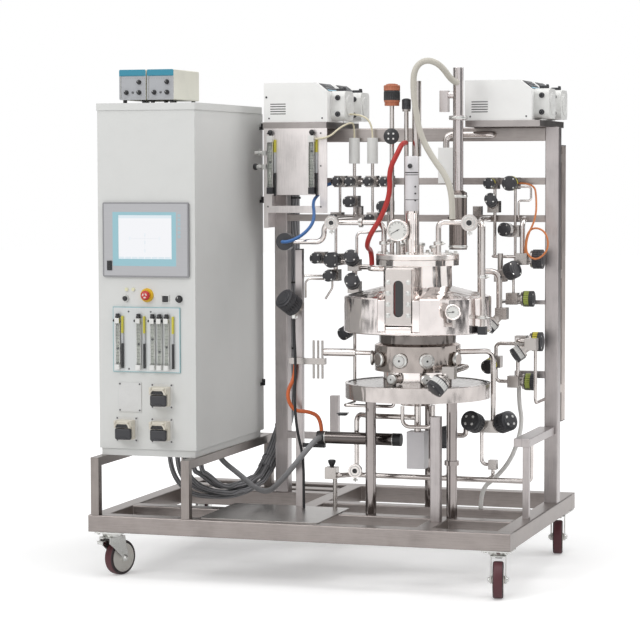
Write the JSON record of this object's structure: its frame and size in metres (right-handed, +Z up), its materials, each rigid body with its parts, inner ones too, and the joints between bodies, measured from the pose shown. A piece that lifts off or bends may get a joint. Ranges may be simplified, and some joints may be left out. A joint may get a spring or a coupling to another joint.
{
  "type": "pilot bioreactor skid",
  "caption": "Stirred stainless bioreactor vessel with valves, hose pumps and a control cabinet on a castered frame.",
  "frame": {"origin": "centre of the base on the floor", "axes": "+X to the right along the front of the base, +Y to the back, +Z up"},
  "size_m": [1.527, 1.1624, 1.8278],
  "materials": {
    "stainless_tube": "satin ground square tube",
    "stainless_sheet": "brushed sheet",
    "polished_steel": "mirror to satin polished stainless steel",
    "zinc": "bright zinc plate",
    "cabinet_paint": "pale grey fine-textured powder coat",
    "brushed_panel": "brushed aluminium bezel",
    "screen_glass": "lit display behind a matt film",
    "cream_paint": "cream enamel",
    "pump_paint": "light grey enamel",
    "drive_paint": "light grey enamel",
    "white_plastic": "white sheet",
    "cream_plastic": "cream moulding",
    "charcoal_plastic": "charcoal moulding",
    "black_plastic": "black moulding",
    "red_plastic": "glossy red mushroom head",
    "clear_tube": "clear borosilicate tube",
    "sight_pane": "dark sight glass",
    "caster_tread": "burgundy tread on a pale core",
    "cable_sheath": "grey cable sheath",
    "hose_rubber": "hose rubber"
  },
  "bodies": {
    "skid": {"base_frame": "stainless_tube", "cabinet_stand": "stainless_tube", "process_frame": "stainless_tube", "shelf_plate": "stainless_sheet", "caster_plates": "zinc", "cabinet_body": "cabinet_paint", "cabinet_cap": "cabinet_paint", "hmi_bezel": "brushed_panel", "hmi_screen": "screen_glass", "control_fittings": "black_plastic", "flowmeter_panel": "white_plastic", "rotameter_tubes": "clear_tube", "pump_plates": "white_plastic", "pump_heads": "cream_plastic", "instrument_cases": "cream_paint", "instrument_knobs": "black_plastic", "top_pump_cases": "pump_paint", "top_pump_heads": "cream_plastic", "pump_trays": "stainless_sheet", "rotameter_bracket": "stainless_sheet", "vessel_shell": "polished_steel", "vessel_jacket": "polished_steel", "head_plate": "polished_steel", "vessel_legs": "polished_steel", "sight_frame": "polished_steel", "sight_glass": "sight_pane", "gauges": "polished_steel", "agitator_drive": "drive_paint", "exhaust_column": "polished_steel", "process_pipes": "polished_steel", "valve_bodies": "polished_steel", "valve_actuators": "black_plastic", "heater_cylinder": "polished_steel", "cable_loom": "cable_sheath", "hoses": "hose_rubber"},
    "fork_front_left": {"caster_fork_front_left": "zinc"},
    "wheel_front_left": {"caster_wheel_front_left": "caster_tread"},
    "fork_front_right": {"caster_fork_front_right": "zinc"},
    "wheel_front_right": {"caster_wheel_front_right": "caster_tread"},
    "fork_back_left": {"caster_fork_back_left": "zinc"},
    "wheel_back_left": {"caster_wheel_back_left": "caster_tread"},
    "fork_back_right": {"caster_fork_back_right": "zinc"},
    "wheel_back_right": {"caster_wheel_back_right": "caster_tread"},
    "door": {"cabinet_door": "cabinet_paint"},
    "estop": {"estop_button": "red_plastic"},
    "button": {"push_button": "black_plastic"},
    "rocker": {"rocker_switch": "black_plastic"},
    "selector": {"control_knob": "black_plastic"},
    "flow_needle_1": {"flow_knob_1": "black_plastic"},
    "flow_needle_2": {"flow_knob_2": "black_plastic"},
    "flow_needle_3": {"flow_knob_3": "black_plastic"},
    "flow_needle_4": {"flow_knob_4": "black_plastic"},
    "flow_needle_5": {"flow_knob_5": "black_plastic"},
    "cover_1": {"pump_cover_1": "charcoal_plastic"},
    "cover_2": {"pump_cover_2": "charcoal_plastic"},
    "cover_3": {"pump_cover_3": "charcoal_plastic"},
    "column_needle_1": {"rotameter_knob_1": "black_plastic"},
    "column_needle_2": {"rotameter_knob_2": "black_plastic"},
    "agitator": {"agitator_shaft": "polished_steel"},
    "hand_valve": {"hand_valve_knob": "black_plastic"}
  },
  "joints": [
    {"name": "swivel_front_left", "type": "hinge", "parent": "skid", "child": "fork_front_left", "pos_m": [-0.691, -0.488, 0.142], "axis": [0, 0, 1], "continuous": true},
    {"name": "roll_front_left", "type": "hinge", "parent": "fork_front_left", "child": "wheel_front_left", "pos_m": [-0.67676, -0.45277, 0.0625], "axis": [0.9272, -0.3746, 0], "continuous": true},
    {"name": "swivel_front_right", "type": "hinge", "parent": "skid", "child": "fork_front_right", "pos_m": [0.711, -0.48, 0.142], "axis": [0, 0, 1], "continuous": true},
    {"name": "roll_front_right", "type": "hinge", "parent": "fork_front_right", "child": "wheel_front_right", "pos_m": [0.7189, -0.51717, 0.0625], "axis": [-0.9781, -0.2079, 0], "continuous": true},
    {"name": "swivel_back_left", "type": "hinge", "parent": "skid", "child": "fork_back_left", "pos_m": [-0.711, 0.48, 0.142], "axis": [0, 0, 1], "continuous": true},
    {"name": "roll_back_left", "type": "hinge", "parent": "fork_back_left", "child": "wheel_back_left", "pos_m": [-0.7189, 0.51717, 0.0625], "axis": [0.9781, 0.2079, 0], "continuous": true},
    {"name": "swivel_back_right", "type": "hinge", "parent": "skid", "child": "fork_back_right", "pos_m": [0.711, 0.48, 0.142], "axis": [0, 0, 1], "continuous": true},
    {"name": "roll_back_right", "type": "hinge", "parent": "fork_back_right", "child": "wheel_back_right", "pos_m": [0.71825, 0.4427, 0.0625], "axis": [-0.9816, -0.1908, 0], "continuous": true},
    {"name": "door_hinge", "type": "hinge", "parent": "skid", "child": "door", "pos_m": [-0.379, 0.255, 1.03], "axis": [0, 0, -1], "range_deg": [0, 85]},
    {"name": "estop_press", "type": "slide", "parent": "skid", "child": "estop", "axis": [0, 1, 0], "range_m": [0, 0.004]},
    {"name": "button_press", "type": "slide", "parent": "skid", "child": "button", "axis": [0, 1, 0], "range_m": [0, 0.003], "stiffness_N_per_m": 400},
    {"name": "rocker_tilt", "type": "hinge", "parent": "skid", "child": "rocker", "pos_m": [-0.497, -0.455, 0.984], "axis": [1, 0, 0], "range_deg": [-6, 6]},
    {"name": "selector_turn", "type": "hinge", "parent": "skid", "child": "selector", "pos_m": [-0.446, -0.46, 0.984], "axis": [0, 1, 0], "range_deg": [-135, 135]},
    {"name": "flow_turn_1", "type": "hinge", "parent": "skid", "child": "flow_needle_1", "pos_m": [-0.674, -0.465, 0.92], "axis": [0, 0, 1], "range_deg": [0, 720]},
    {"name": "flow_turn_2", "type": "hinge", "parent": "skid", "child": "flow_needle_2", "pos_m": [-0.595, -0.465, 0.92], "axis": [0, 0, 1], "range_deg": [0, 720]},
    {"name": "flow_turn_3", "type": "hinge", "parent": "skid", "child": "flow_needle_3", "pos_m": [-0.542, -0.465, 0.92], "axis": [0, 0, 1], "range_deg": [0, 720]},
    {"name": "flow_turn_4", "type": "hinge", "parent": "skid", "child": "flow_needle_4", "pos_m": [-0.516, -0.465, 0.92], "axis": [0, 0, 1], "range_deg": [0, 720]},
    {"name": "flow_turn_5", "type": "hinge", "parent": "skid", "child": "flow_needle_5", "pos_m": [-0.489, -0.465, 0.92], "axis": [0, 0, 1], "range_deg": [0, 720]},
    {"name": "cover_swing_1", "type": "hinge", "parent": "skid", "child": "cover_1", "pos_m": [-0.5445, -0.4793, 0.628], "axis": [0, 0, -1], "range_deg": [0, 105]},
    {"name": "cover_swing_2", "type": "hinge", "parent": "skid", "child": "cover_2", "pos_m": [-0.679, -0.4793, 0.507], "axis": [0, 0, -1], "range_deg": [0, 105]},
    {"name": "cover_swing_3", "type": "hinge", "parent": "skid", "child": "cover_3", "pos_m": [-0.5455, -0.4793, 0.506], "axis": [0, 0, -1], "range_deg": [0, 105]},
    {"name": "column_turn_1", "type": "hinge", "parent": "skid", "child": "column_needle_1", "pos_m": [-0.291, 0.086, 1.57], "axis": [0, 0, 1], "range_deg": [0, 720]},
    {"name": "column_turn_2", "type": "hinge", "parent": "skid", "child": "column_needle_2", "pos_m": [-0.13, 0.086, 1.57], "axis": [0, 0, 1], "range_deg": [0, 720]},
    {"name": "agitator_spin", "type": "hinge", "parent": "skid", "child": "agitator", "pos_m": [0.329, -0.195, 1.13], "axis": [0, 0, 1], "continuous": true},
    {"name": "hand_valve_turn", "type": "hinge", "parent": "skid", "child": "hand_valve", "pos_m": [0.013, -0.13, 0.38], "axis": [0, 0, 1], "range_deg": [0, 360]}
  ]
}
